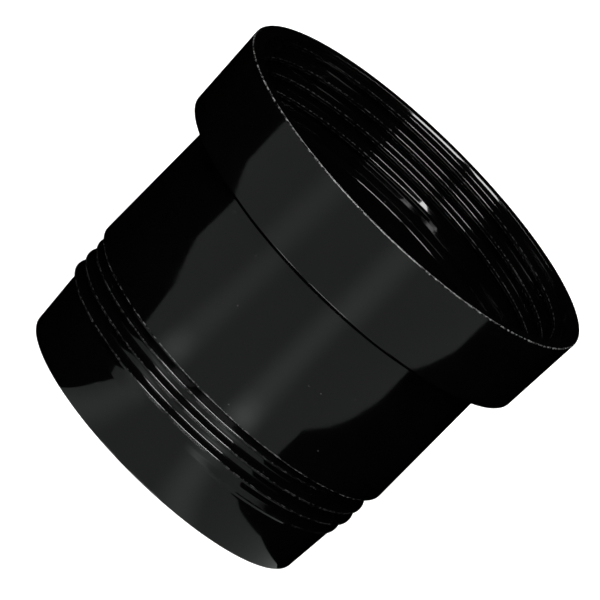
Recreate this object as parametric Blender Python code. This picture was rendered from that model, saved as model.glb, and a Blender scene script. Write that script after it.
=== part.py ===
"""Short Barlow lens: collar, barrel, nosepiece and the lens group inside, as separate pieces.

The optical axis is +Z. The nose's end face stands on Z = 0 and the threaded mouth opens upwards.
"""

import math

import bmesh
import bpy

MM = 0.001

# ---- driving dimensions -------------------------------------------------------------------------
FACETS = 36  # sides of every round surface
GLASS_RINGS = 5  # facets from a lens's axis to its rim
BEAD_SIDES = 8  # sides of the cushion ring's round section

BARREL_RADIUS = 16.65 * MM
BARREL_LENGTH = 14.20 * MM  # the part that shows, from its lower edge to the collar
BARREL_WALL = 1.30 * MM  # at the upper bore
BARREL_EDGE = 0.14 * MM  # bevel on the lower outer edge
JOINT_WALL = 1.65 * MM  # barrel wall outside the nosepiece's thread

CEMENT_GROOVE = 0.42 * MM  # depth and lower slope of the groove under the collar
CEMENT_GROOVE_LIP = 0.10 * MM  # height of its upper slope
CEMENT_GROOVE_DROP = 0.30 * MM  # from the collar's lower edge down to it
FLANGE_WIDTH = 0.75 * MM  # how far the barrel's top flange stands out
FLANGE_THICKNESS = 0.50 * MM
BORE_CHAMFER = 0.45 * MM  # at the top of the barrel's bore

COLLAR_HEIGHT = 8.07 * MM
COLLAR_BASE_WALL = 0.93 * MM  # outside the thread's root, at the collar's lower edge
COLLAR_MOUTH_WALL = 1.37 * MM  # the same at the mouth, so the outside tapers
COLLAR_EDGE = 0.12 * MM
RIM_EDGE = 0.08 * MM
SEAT_DEPTH = 6.71 * MM  # from the rim down to the barrel's flange
MOUTH_CHAMFER = 0.16 * MM
MOUTH_THREAD_LEAD = 0.04 * MM  # plain wall under the rim before the thread
MOUTH_RELIEF = 0.52 * MM  # plain wall between the thread and the flange

NOSE_LENGTH = 4.68 * MM  # tapered stretch below the mounting thread
NOSE_TAPER = 0.39 * MM  # how much the radius falls to the tip
NOSE_EDGE = 0.20 * MM  # bevel round the tip
NOSE_WALL = 1.12 * MM  # outside the filter thread, at the tip
MOUNT_ZONE = 5.38 * MM  # threaded stretch between the nose and the barrel
MOUNT_STEP = 0.39 * MM  # the thread's crest lies this far inside the barrel's outside
SPIGOT_WALL = 0.85 * MM  # between the joint thread and the retaining ring's thread
SPIGOT_LEAD = 0.60 * MM  # plain bore above the retaining ring's thread
SPIGOT_CHAMFER = 0.20 * MM

FILTER_THREAD_LENGTH = 3.00 * MM
FILTER_MOUTH_CHAMFER = 0.20 * MM
WEB_THICKNESS = 0.90 * MM  # the web that the lenses sit on
SEAT_WIDTH = 1.00 * MM  # how much of the lens's rim it covers

LENS_BORE_STEP = 0.15 * MM  # the lens bore lies inside the retaining ring's thread
CROWN_CENTRE = 1.00 * MM
CROWN_LOWER_CURVE = 120.0 * MM
CROWN_UPPER_CURVE = 48.0 * MM
FLINT_CENTRE = 2.20 * MM
FLINT_LOWER_CURVE = 50.0 * MM
FLINT_UPPER_CURVE = 110.0 * MM
SPACER_THICKNESS = 0.35 * MM
SPACER_WIDTH = 0.80 * MM
CUSHION_THICKNESS = 0.90 * MM

RETAINER_HEIGHT = 2.00 * MM
RETAINER_WIDTH = 1.20 * MM  # inside its thread's root
RETAINER_CHAMFER = 0.20 * MM
RETAINER_TRAVEL = 2.50 * MM  # how far it rises before its thread lets go
SPANNER_SLOT_WIDTH = 1.60 * MM
SPANNER_SLOT_DEPTH = 0.80 * MM

STOP_THICKNESS = 0.80 * MM
STOP_OPENING = 12.20 * MM  # radius of the glare stop's opening
STOP_LAND = 0.15 * MM  # thickness left at the edge of the opening
STOP_CLEARANCE = 0.70 * MM  # between the stop's ledge and the raised retaining ring
SNAP_RING_HEIGHT = 0.60 * MM
SNAP_RING_WIDTH = 0.70 * MM
SNAP_GROOVE_DEPTH = 0.33 * MM
SNAP_RING_GAP_DEG = 30.0

# Threads: pitch, depth, crest width and the width of each flank.
MOUNT = {"pitch": 1.40 * MM, "depth": 0.52 * MM, "crest": 0.14 * MM, "flank": 0.20 * MM}
MOUNT_UPPER_FLANK = 0.55 * MM  # the mounting thread's ridges slope gently on top, steeply below
MOUTH = {"pitch": 1.55 * MM, "depth": 0.61 * MM, "crest": 0.30 * MM, "flank": 0.34 * MM}
JOINT = {"pitch": 1.00 * MM, "depth": 0.45 * MM, "crest": 0.20 * MM, "flank": 0.20 * MM}
RETAINER = {"pitch": 1.00 * MM, "depth": 0.40 * MM, "crest": 0.20 * MM, "flank": 0.18 * MM}
FILTER = {"pitch": 0.60 * MM, "depth": 0.32 * MM, "crest": 0.08 * MM, "flank": 0.17 * MM}
THREAD_RUN = 0.30 * MM  # height over which a ridge grows at each end of its thread
MOUNT_RUN = 0.80 * MM  # the same at the mounting thread's lower end
MOUTH_THREAD_START = 1.38 * MM  # from the rim down to the middle of the first ridge, at angle 0
MOUNT_THREAD_START = 2.02 * MM  # from the nose's top up to the middle of a ridge, at angle 0

# ---- clearances ---------------------------------------------------------------------------------
FIT_GAP = 0.05 * MM  # between pieces that are pressed, cemented or seated
THREAD_GAP = 0.10 * MM  # between a male and a female thread
FLANGE_GAP = 0.04 * MM  # lets the flange past the mouth's thread
WELD = 0.002 * MM  # corners closer than this are one
SHARP_ANGLE = math.radians(30)  # steeper edges stay crisp under smooth shading

# ---- heights and radii that follow --------------------------------------------------------------
BARREL_BASE = NOSE_LENGTH + MOUNT_ZONE
COLLAR_BASE = BARREL_BASE + BARREL_LENGTH
MOUTH_HEIGHT = COLLAR_BASE + COLLAR_HEIGHT
FLANGE_TOP = MOUTH_HEIGHT - SEAT_DEPTH
FLANGE_BASE = FLANGE_TOP - FLANGE_THICKNESS

BORE_RADIUS = BARREL_RADIUS - BARREL_WALL
FLANGE_RADIUS = BARREL_RADIUS + FLANGE_WIDTH
MOUTH_ROOT = FLANGE_RADIUS + FLANGE_GAP + MOUTH["depth"]
JOINT_FEMALE_ROOT = BARREL_RADIUS - JOINT_WALL
JOINT_FEMALE_CREST = JOINT_FEMALE_ROOT - JOINT["depth"]
JOINT_MALE_ROOT = JOINT_FEMALE_CREST - THREAD_GAP
RETAINER_FEMALE_ROOT = JOINT_MALE_ROOT - SPIGOT_WALL
RETAINER_FEMALE_CREST = RETAINER_FEMALE_ROOT - RETAINER["depth"]
RETAINER_MALE_ROOT = RETAINER_FEMALE_CREST - THREAD_GAP
LENS_BORE = RETAINER_FEMALE_CREST - LENS_BORE_STEP
LENS_RADIUS = LENS_BORE - FIT_GAP
APERTURE = LENS_RADIUS - SEAT_WIDTH
MOUNT_ROOT = BARREL_RADIUS - MOUNT_STEP - MOUNT["depth"]
NOSE_TIP_RADIUS = MOUNT_ROOT - NOSE_TAPER
FILTER_ROOT = NOSE_TIP_RADIUS - NOSE_WALL

WEB_BASE = FILTER_THREAD_LENGTH + FILTER_MOUTH_CHAMFER + FILTER["pitch"] / 2
LENS_SEAT = WEB_BASE + WEB_THICKNESS


def sag(curve, radius):
    """How far a spherical surface of this curve drops at this radius."""
    return curve - math.sqrt(curve * curve - radius * radius)


CROWN_BASE = LENS_SEAT + FIT_GAP
CROWN_EDGE = CROWN_CENTRE + sag(CROWN_LOWER_CURVE, LENS_RADIUS) + sag(CROWN_UPPER_CURVE, LENS_RADIUS)
SPACER_BASE = CROWN_BASE + CROWN_EDGE + FIT_GAP
SPACER_INNER = LENS_RADIUS - SPACER_WIDTH
FLINT_RIM_RISE = sag(FLINT_LOWER_CURVE, LENS_RADIUS) - sag(FLINT_LOWER_CURVE, SPACER_INNER)
FLINT_BASE = SPACER_BASE + SPACER_THICKNESS + FIT_GAP + FLINT_RIM_RISE
FLINT_EDGE = FLINT_CENTRE - sag(FLINT_LOWER_CURVE, LENS_RADIUS) + sag(FLINT_UPPER_CURVE, LENS_RADIUS)
CUSHION_BASE = FLINT_BASE + FLINT_EDGE + FIT_GAP
RETAINER_BASE = CUSHION_BASE + CUSHION_THICKNESS + FIT_GAP
RETAINER_TOP = RETAINER_BASE + RETAINER_HEIGHT
RETAINER_THREAD_BASE = RETAINER_BASE - RETAINER["pitch"]
RETAINER_THREAD_TOP = RETAINER_TOP + RETAINER["pitch"] / 2
SPIGOT_TOP = RETAINER_THREAD_TOP + SPIGOT_LEAD
STOP_LEDGE = RETAINER_TOP + RETAINER_TRAVEL + STOP_CLEARANCE
STOP_BASE = STOP_LEDGE + FIT_GAP
SNAP_RING_BASE = STOP_BASE + STOP_THICKNESS + FIT_GAP


class Thread:
    """A right-handed ridge on a round wall. It stands out where side is 1, in where side is -1."""

    def __init__(self, form, wall, low, high, side, phase, upper_flank=None, low_run=THREAD_RUN):
        self.form = form
        self.wall = wall
        self.low = low
        self.high = high
        self.side = side
        self.phase = phase  # height of a ridge's middle at angle 0, give or take whole pitches
        self.low_run = low_run
        half = form["crest"] / 2
        self.below = half + form["flank"]
        self.above = half + (upper_flank or form["flank"])
        self.steps = (-self.below, -half, half, self.above)
        pitch = form["pitch"]
        self.first = phase + pitch * math.floor((low - self.above - pitch - phase) / pitch)
        self.turns = math.ceil((high + self.below - self.first) / pitch)

    def middle(self, turn, column):
        return self.first + self.form["pitch"] * (turn + column / FACETS)

    def height(self, middle):
        """The ridge grows from nothing at each end of the thread."""
        rise = (middle - self.below - self.low) / self.low_run
        fall = (self.high - middle - self.above) / THREAD_RUN
        return self.form["depth"] * min(max(min(rise, fall), 0.0), 1.0)

    def point(self, knot, column):
        """Radius and height of one of the four knots across each turn of the ridge."""
        turn, step = divmod(knot, len(self.steps))
        middle = self.middle(turn, column)
        z = middle + self.steps[step]
        on_crest = step in (1, 2)
        radius = self.wall + self.side * self.height(middle) * on_crest
        if z <= self.low:
            return self.wall, self.low
        if z >= self.high:
            return self.wall, self.high
        return radius, z


def spot(bm, radius, z, column):
    angle = 2 * math.pi * column / FACETS
    return bm.verts.new((radius * math.cos(angle), radius * math.sin(angle), z))


def join_rings(bm, one, other):
    for k in range(FACETS):
        after = (k + 1) % FACETS
        bm.faces.new((one[k], one[after], other[after], other[k]))


def join_thread(bm, low_ring, high_ring, thread):
    """Fills the wall between two rings with a helical ridge, four knots to each turn."""
    per_turn = len(thread.steps)
    last = per_turn * thread.turns
    columns = []
    for k in range(FACETS):
        knots = last + 1 + (per_turn if k == 0 else 0)
        columns.append([spot(bm, *thread.point(j, k), k) for j in range(knots)])
    for k in range(FACETS):
        wraps = k == FACETS - 1
        after = columns[0] if wraps else columns[k + 1]
        shift = per_turn if wraps else 0
        here = columns[k]
        for j in range(last):
            bm.faces.new((here[j], after[j + shift], after[j + 1 + shift], here[j + 1]))
        low_after = low_ring[(k + 1) % FACETS]
        high_after = high_ring[(k + 1) % FACETS]
        low_edge = after[: shift + 1]
        high_edge = here[last:]
        bm.faces.new([low_ring[k], low_after] + low_edge + [here[0]])
        bm.faces.new([high_after, high_ring[k]] + high_edge[::-1] + [after[last + shift]])


def turn(bm, outline):
    """Turns a closed outline of (radius, height) points and threads round the Z axis."""
    rings = {i: [spot(bm, *at, k) for k in range(FACETS)]
             for i, at in enumerate(outline) if not isinstance(at, Thread)}
    order = list(rings)
    for here, after in zip(order, order[1:] + order[:1]):
        between = outline[here + 1] if here + 1 < len(outline) else None
        if not isinstance(between, Thread):
            join_rings(bm, rings[here], rings[after])
        elif outline[here][1] < outline[after][1]:
            join_thread(bm, rings[here], rings[after], between)
        else:
            join_thread(bm, rings[after], rings[here], between)


def material(name, colour, roughness, metallic=0.0, alpha=1.0):
    made = bpy.data.materials.new(name)
    made.use_nodes = True
    shader = made.node_tree.nodes["Principled BSDF"]
    shader.inputs["Base Color"].default_value = (*colour, 1.0)
    shader.inputs["Roughness"].default_value = roughness
    shader.inputs["Metallic"].default_value = metallic
    shader.inputs["Alpha"].default_value = alpha
    return made


def piece(name, bm, base, surface, parent=None):
    """Makes one object whose own origin lies on the axis at the height where the piece starts."""
    bmesh.ops.remove_doubles(bm, verts=bm.verts, dist=WELD)
    bmesh.ops.dissolve_degenerate(bm, edges=bm.edges, dist=WELD / 2)
    bmesh.ops.recalc_face_normals(bm, faces=bm.faces)
    bmesh.ops.translate(bm, verts=bm.verts, vec=(0, 0, -base))
    mesh = bpy.data.meshes.new(name)
    bm.to_mesh(mesh)
    bm.free()
    mesh.shade_smooth()
    mesh.set_sharp_from_angle(angle=SHARP_ANGLE)
    mesh.materials.append(surface)
    made = bpy.data.objects.new(name, mesh)
    bpy.context.scene.collection.objects.link(made)
    made.location.z = base
    if parent:
        made.parent = parent
    return made


def turned_piece(name, outline, base, surface, parent=None):
    bm = bmesh.new()
    turn(bm, outline)
    return piece(name, bm, base, surface, parent)


def joint_axis(name, parent=None):
    axis = bpy.data.objects.new(name, None)
    axis.empty_display_size = 5 * MM
    bpy.context.scene.collection.objects.link(axis)
    axis.parent = parent
    return axis


def make_collar(surface):
    """The wide mouth: tapered outside, coarse female thread inside, held on under the flange."""
    base_radius = MOUTH_ROOT + COLLAR_BASE_WALL
    mouth_radius = MOUTH_ROOT + COLLAR_MOUTH_WALL
    hole = BARREL_RADIUS + FIT_GAP
    floor = FLANGE_BASE - FIT_GAP
    thread_low = FLANGE_TOP + MOUTH_RELIEF
    thread_high = MOUTH_HEIGHT - MOUTH_CHAMFER - MOUTH_THREAD_LEAD
    taper = (mouth_radius - base_radius) / COLLAR_HEIGHT
    start = MOUTH_HEIGHT - MOUTH_THREAD_START
    thread = Thread(MOUTH, MOUTH_ROOT, thread_low, thread_high, -1, start)
    outline = [
        (base_radius - COLLAR_EDGE, COLLAR_BASE),
        (base_radius + taper * COLLAR_EDGE, COLLAR_BASE + COLLAR_EDGE),
        (mouth_radius - taper * RIM_EDGE, MOUTH_HEIGHT - RIM_EDGE),
        (mouth_radius - RIM_EDGE, MOUTH_HEIGHT),
        (MOUTH_ROOT + MOUTH_CHAMFER, MOUTH_HEIGHT),
        (MOUTH_ROOT, MOUTH_HEIGHT - MOUTH_CHAMFER),
        (MOUTH_ROOT, thread_high),
        thread,
        (MOUTH_ROOT, thread_low),
        (MOUTH_ROOT, floor),
        (hole, floor),
        (hole, COLLAR_BASE),
    ]
    turned_piece("collar", outline, COLLAR_BASE, surface)


def make_barrel(surface):
    """The straight tube, with a flange under the mouth and a female thread at its lower end."""
    joint_low = BARREL_BASE + JOINT["pitch"] / 4
    joint = Thread(JOINT, JOINT_FEMALE_ROOT, joint_low, SPIGOT_TOP, -1, JOINT["pitch"] / 2)
    cement_low = COLLAR_BASE - CEMENT_GROOVE_DROP - CEMENT_GROOVE - CEMENT_GROOVE_LIP
    groove = BORE_RADIUS + SNAP_GROOVE_DEPTH
    groove_low = SNAP_RING_BASE - FIT_GAP
    groove_high = SNAP_RING_BASE + SNAP_RING_HEIGHT + FIT_GAP
    outline = [
        (BARREL_RADIUS - BARREL_EDGE, BARREL_BASE),
        (BARREL_RADIUS, BARREL_BASE + BARREL_EDGE),
        (BARREL_RADIUS, cement_low),
        (BARREL_RADIUS - CEMENT_GROOVE, cement_low + CEMENT_GROOVE),
        (BARREL_RADIUS, COLLAR_BASE - CEMENT_GROOVE_DROP),
        (BARREL_RADIUS, FLANGE_BASE),
        (FLANGE_RADIUS, FLANGE_BASE),
        (FLANGE_RADIUS, FLANGE_TOP),
        (BORE_RADIUS + BORE_CHAMFER, FLANGE_TOP),
        (BORE_RADIUS, FLANGE_TOP - BORE_CHAMFER),
        (BORE_RADIUS, groove_high),
        (groove, groove_high),
        (groove, groove_low),
        (BORE_RADIUS, groove_low),
        (BORE_RADIUS, STOP_LEDGE),
        (JOINT_FEMALE_CREST, STOP_LEDGE),
        (JOINT_FEMALE_CREST, SPIGOT_TOP + JOINT["depth"]),
        (JOINT_FEMALE_ROOT, SPIGOT_TOP),
        joint,
        (JOINT_FEMALE_ROOT, joint_low),
        (JOINT_FEMALE_ROOT, BARREL_BASE),
    ]
    turned_piece("barrel", outline, BARREL_BASE, surface)


def make_nosepiece(surface, axis):
    """Tapered nose and mounting thread outside; spigot, lens seat and filter thread inside."""
    top = BARREL_BASE - FIT_GAP
    male_low = BARREL_BASE + JOINT["pitch"] / 2
    male_high = SPIGOT_TOP - SPIGOT_CHAMFER
    mount = Thread(MOUNT, MOUNT_ROOT, NOSE_LENGTH, top, 1, NOSE_LENGTH + MOUNT_THREAD_START,
                   MOUNT_UPPER_FLANK, MOUNT_RUN)
    joint = Thread(JOINT, JOINT_MALE_ROOT, male_low, male_high, 1, 0.0)
    retainer = Thread(RETAINER, RETAINER_FEMALE_ROOT, RETAINER_THREAD_BASE, RETAINER_THREAD_TOP,
                      -1, RETAINER["pitch"] / 2)
    filter_low = FILTER_MOUTH_CHAMFER
    filter_high = filter_low + FILTER_THREAD_LENGTH
    filter_thread = Thread(FILTER, FILTER_ROOT, filter_low, filter_high, -1, 0.0)
    outline = [
        (NOSE_TIP_RADIUS - NOSE_EDGE, 0.0),
        (NOSE_TIP_RADIUS, NOSE_EDGE),
        (MOUNT_ROOT, NOSE_LENGTH),
        mount,
        (MOUNT_ROOT, top),
        (JOINT_MALE_ROOT, top),
        (JOINT_MALE_ROOT, male_low),
        joint,
        (JOINT_MALE_ROOT, male_high),
        (JOINT_MALE_ROOT - SPIGOT_CHAMFER, SPIGOT_TOP),
        (RETAINER_FEMALE_ROOT, SPIGOT_TOP),
        (RETAINER_FEMALE_ROOT, RETAINER_THREAD_TOP),
        retainer,
        (RETAINER_FEMALE_ROOT, RETAINER_THREAD_BASE),
        (LENS_BORE, RETAINER_THREAD_BASE - (RETAINER_FEMALE_ROOT - LENS_BORE)),
        (LENS_BORE, LENS_SEAT),
        (APERTURE, LENS_SEAT),
        (APERTURE, WEB_BASE),
        (FILTER_ROOT, WEB_BASE),
        (FILTER_ROOT, filter_high),
        filter_thread,
        (FILTER_ROOT, filter_low),
        (FILTER_ROOT + FILTER_MOUTH_CHAMFER, 0.0),
    ]
    turned_piece("nosepiece", outline, 0.0, surface, axis)


def spherical(curve, middle, sign):
    """Points of a spherical surface from the axis to the lens's rim; sign 1 bends it upwards."""
    radii = [LENS_RADIUS * i / GLASS_RINGS for i in range(GLASS_RINGS + 1)]
    return [(r, middle + sign * sag(curve, r)) for r in radii]


def make_lens(name, base, centre_base, centre, lower, upper, surface, axis):
    """lower and upper are (curve, sign) of the two polished faces."""
    down = spherical(lower[0], centre_base, lower[1])
    up = spherical(upper[0], centre_base + centre, upper[1])
    turned_piece(name, down + up[::-1], base, surface, axis)


def make_lenses(glass, flint_glass, axis):
    """A thin biconcave crown below and a thicker meniscus flint above, with air between."""
    crown_middle = CROWN_BASE + sag(CROWN_LOWER_CURVE, LENS_RADIUS)
    make_lens("crown_lens", CROWN_BASE, crown_middle, CROWN_CENTRE,
              (CROWN_LOWER_CURVE, -1), (CROWN_UPPER_CURVE, 1), glass, axis)
    flint_middle = FLINT_BASE - sag(FLINT_LOWER_CURVE, LENS_RADIUS)
    make_lens("flint_lens", FLINT_BASE, flint_middle, FLINT_CENTRE,
              (FLINT_LOWER_CURVE, 1), (FLINT_UPPER_CURVE, 1), flint_glass, axis)


def flat_ring(inner, outer, low, high):
    return [(inner, low), (outer, low), (outer, high), (inner, high)]


def make_spacer(surface, axis):
    outline = flat_ring(SPACER_INNER, LENS_RADIUS, SPACER_BASE, SPACER_BASE + SPACER_THICKNESS)
    turned_piece("lens_spacer", outline, SPACER_BASE, surface, axis)


def make_cushion(surface, axis):
    """A soft round-section ring between the flint's rim and the retaining ring."""
    half = CUSHION_THICKNESS / 2
    middle = LENS_RADIUS - half
    outline = []
    for i in range(BEAD_SIDES):
        angle = 2 * math.pi * (i + 0.5) / BEAD_SIDES
        reach = half / math.cos(math.pi / BEAD_SIDES)
        height = CUSHION_BASE + half + reach * math.sin(angle)
        outline.append((middle + reach * math.cos(angle), height))
    turned_piece("cushion_ring", outline, CUSHION_BASE, surface, axis)


def make_retaining_ring(surface, axis):
    """A male-threaded ring with two slots across its top face for a pin spanner."""
    inner = RETAINER_MALE_ROOT - RETAINER_WIDTH
    low = RETAINER_BASE + RETAINER_CHAMFER
    high = RETAINER_TOP - RETAINER_CHAMFER
    outline = [
        (inner, RETAINER_BASE),
        (RETAINER_MALE_ROOT - RETAINER_CHAMFER, RETAINER_BASE),
        (RETAINER_MALE_ROOT, low),
        Thread(RETAINER, RETAINER_MALE_ROOT, low, high, 1, 0.0),
        (RETAINER_MALE_ROOT, high),
        (RETAINER_MALE_ROOT - RETAINER_CHAMFER, RETAINER_TOP),
        (inner + RETAINER_CHAMFER, RETAINER_TOP),
        (inner, RETAINER_TOP - RETAINER_CHAMFER),
    ]
    ring = turned_piece("retaining_ring", outline, RETAINER_BASE, surface, axis)
    bm = bmesh.new()
    bmesh.ops.create_cube(bm, size=1.0)
    across = 4 * RETAINER_MALE_ROOT
    bmesh.ops.scale(bm, verts=bm.verts, vec=(across, SPANNER_SLOT_WIDTH, 2 * SPANNER_SLOT_DEPTH))
    bmesh.ops.translate(bm, verts=bm.verts, vec=(0, 0, RETAINER_TOP))
    cutter = piece("spanner_slot_cutter", bm, RETAINER_BASE, surface, axis)
    cutter.hide_render = True
    cutter.display_type = "WIRE"
    cut = ring.modifiers.new("spanner_slots", "BOOLEAN")
    cut.operation = "DIFFERENCE"
    cut.solver = "EXACT"
    cut.object = cutter


def make_glare_stop(surface):
    """A thin ring with a sharp inner edge, lying on the ledge in the barrel's bore."""
    outer = BORE_RADIUS - FIT_GAP
    top = STOP_BASE + STOP_THICKNESS
    outline = [
        (STOP_OPENING, STOP_BASE),
        (outer, STOP_BASE),
        (outer, top),
        (JOINT_FEMALE_CREST, top),
        (STOP_OPENING, STOP_BASE + STOP_LAND),
    ]
    turned_piece("glare_stop", outline, STOP_BASE, surface)


def make_snap_ring(surface):
    """A split spring ring in the barrel's groove that keeps the glare stop down."""
    outer = BORE_RADIUS + SNAP_GROOVE_DEPTH - FIT_GAP
    inner = outer - SNAP_RING_WIDTH
    section = flat_ring(inner, outer, SNAP_RING_BASE, SNAP_RING_BASE + SNAP_RING_HEIGHT)
    gap_columns = round(FACETS * SNAP_RING_GAP_DEG / 360)
    first = FACETS // 4 + gap_columns // 2
    bm = bmesh.new()
    slices = []
    for k in range(first, first + FACETS - gap_columns + 1):
        slices.append([spot(bm, radius, z, k) for radius, z in section])
    corners = len(section)
    for here, after in zip(slices, slices[1:]):
        for i in range(corners):
            bm.faces.new((here[i], here[(i + 1) % corners], after[(i + 1) % corners], after[i]))
    bm.faces.new(slices[0])
    bm.faces.new(slices[-1])
    piece("snap_ring", bm, SNAP_RING_BASE, surface)


for old in list(bpy.data.objects):
    bpy.data.objects.remove(old, do_unlink=True)

black = material("black_gloss_plastic", (0.012, 0.013, 0.013), 0.18)
matt_black = material("matt_black_plastic", (0.010, 0.010, 0.010), 0.75)
anodised = material("black_anodised_aluminium", (0.020, 0.020, 0.022), 0.42, 0.6)
steel = material("blackened_spring_steel", (0.030, 0.030, 0.032), 0.38, 1.0)
rubber = material("black_rubber", (0.015, 0.015, 0.015), 0.80)
crown_glass = material("crown_glass", (0.86, 0.93, 0.90), 0.02, alpha=0.30)
flint_glass_look = material("flint_glass", (0.88, 0.90, 0.95), 0.02, alpha=0.30)

nose_travel = joint_axis("nose_travel_axis")
nose_turn = joint_axis("nose_turn_axis", nose_travel)
retainer_travel = joint_axis("retainer_travel_axis", nose_turn)
retainer_turn = joint_axis("retainer_turn_axis", retainer_travel)

make_collar(black)
make_barrel(black)
make_glare_stop(matt_black)
make_snap_ring(steel)
make_nosepiece(black, nose_turn)
make_lenses(crown_glass, flint_glass_look, nose_travel)
make_spacer(matt_black, nose_travel)
make_cushion(rubber, retainer_travel)
make_retaining_ring(anodised, retainer_turn)
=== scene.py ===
import math

import bmesh
import bpy
from mathutils import Matrix, Vector


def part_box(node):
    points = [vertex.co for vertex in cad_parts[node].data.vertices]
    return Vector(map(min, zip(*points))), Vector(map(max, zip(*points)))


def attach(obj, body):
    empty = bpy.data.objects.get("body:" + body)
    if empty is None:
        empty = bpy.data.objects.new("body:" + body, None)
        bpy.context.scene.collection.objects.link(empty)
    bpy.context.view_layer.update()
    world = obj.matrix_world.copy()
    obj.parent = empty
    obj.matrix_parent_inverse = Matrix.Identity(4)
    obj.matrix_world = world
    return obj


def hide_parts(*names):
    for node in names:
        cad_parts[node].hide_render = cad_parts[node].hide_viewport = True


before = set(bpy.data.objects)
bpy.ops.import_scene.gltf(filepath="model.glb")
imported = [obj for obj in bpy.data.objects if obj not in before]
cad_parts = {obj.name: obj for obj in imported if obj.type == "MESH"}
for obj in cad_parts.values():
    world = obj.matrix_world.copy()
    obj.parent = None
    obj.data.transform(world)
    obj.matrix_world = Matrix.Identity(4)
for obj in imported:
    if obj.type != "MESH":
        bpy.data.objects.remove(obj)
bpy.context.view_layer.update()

MM = 0.001

# ---- collar -------------------------------------------------------------------------------------
# The wide mouth of the lens: a ring of glossy black plastic, moulded and finished on a lathe, with
# a coarse female thread cut inside. It is pushed up the barrel and cemented under its flange.

ROUND = 256  # columns round every turned piece
CORNER_STEPS = 4  # spans across one broken edge
CRISP_EDGE = 0.03 * MM  # how far the sharpest turned edges are broken
FINE_EDGE = 0.04 * MM
SOFT_EDGE = 0.05 * MM
RIDGE_STEPS = 3  # spans across each rounded edge of a thread's ridge
THREAD_WEAR = 0.25
WELD = 0.0015 * MM
SMOOTH_ANGLE = math.radians(32)

PLASTIC_DARK = (0.0004, 0.0004, 0.0004, 1.0)
PLASTIC_WORN = (0.13, 0.135, 0.13, 1.0)
DUST_COLOUR = (0.025, 0.025, 0.024, 1.0)
PLASTIC_RELIEF = 0.006 * MM
PLASTIC_IOR = 1.50
SMEARS_PER_MM = 0.22
GRAINS_PER_MM = 7.0
RIPPLES_PER_MM = 0.8
NICKS_PER_MM = 2.6
SPECKS_PER_MM = 0.62


def add_node(tree, kind, *given, **settings):
    """Adds a node, sets its options, and feeds its inputs in order with values or links."""
    made = tree.nodes.new(kind)
    for name, value in settings.items():
        setattr(made, name, value)
    for socket, value in zip([s for s in made.inputs if s.enabled], given):
        if isinstance(value, bpy.types.NodeSocket):
            tree.links.new(value, socket)
        elif value is not None:
            socket.default_value = value
    return made


def result(tree, operation, *given):
    """The result of one Math node."""
    return add_node(tree, "ShaderNodeMath", *given, operation=operation).outputs[0]


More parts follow.
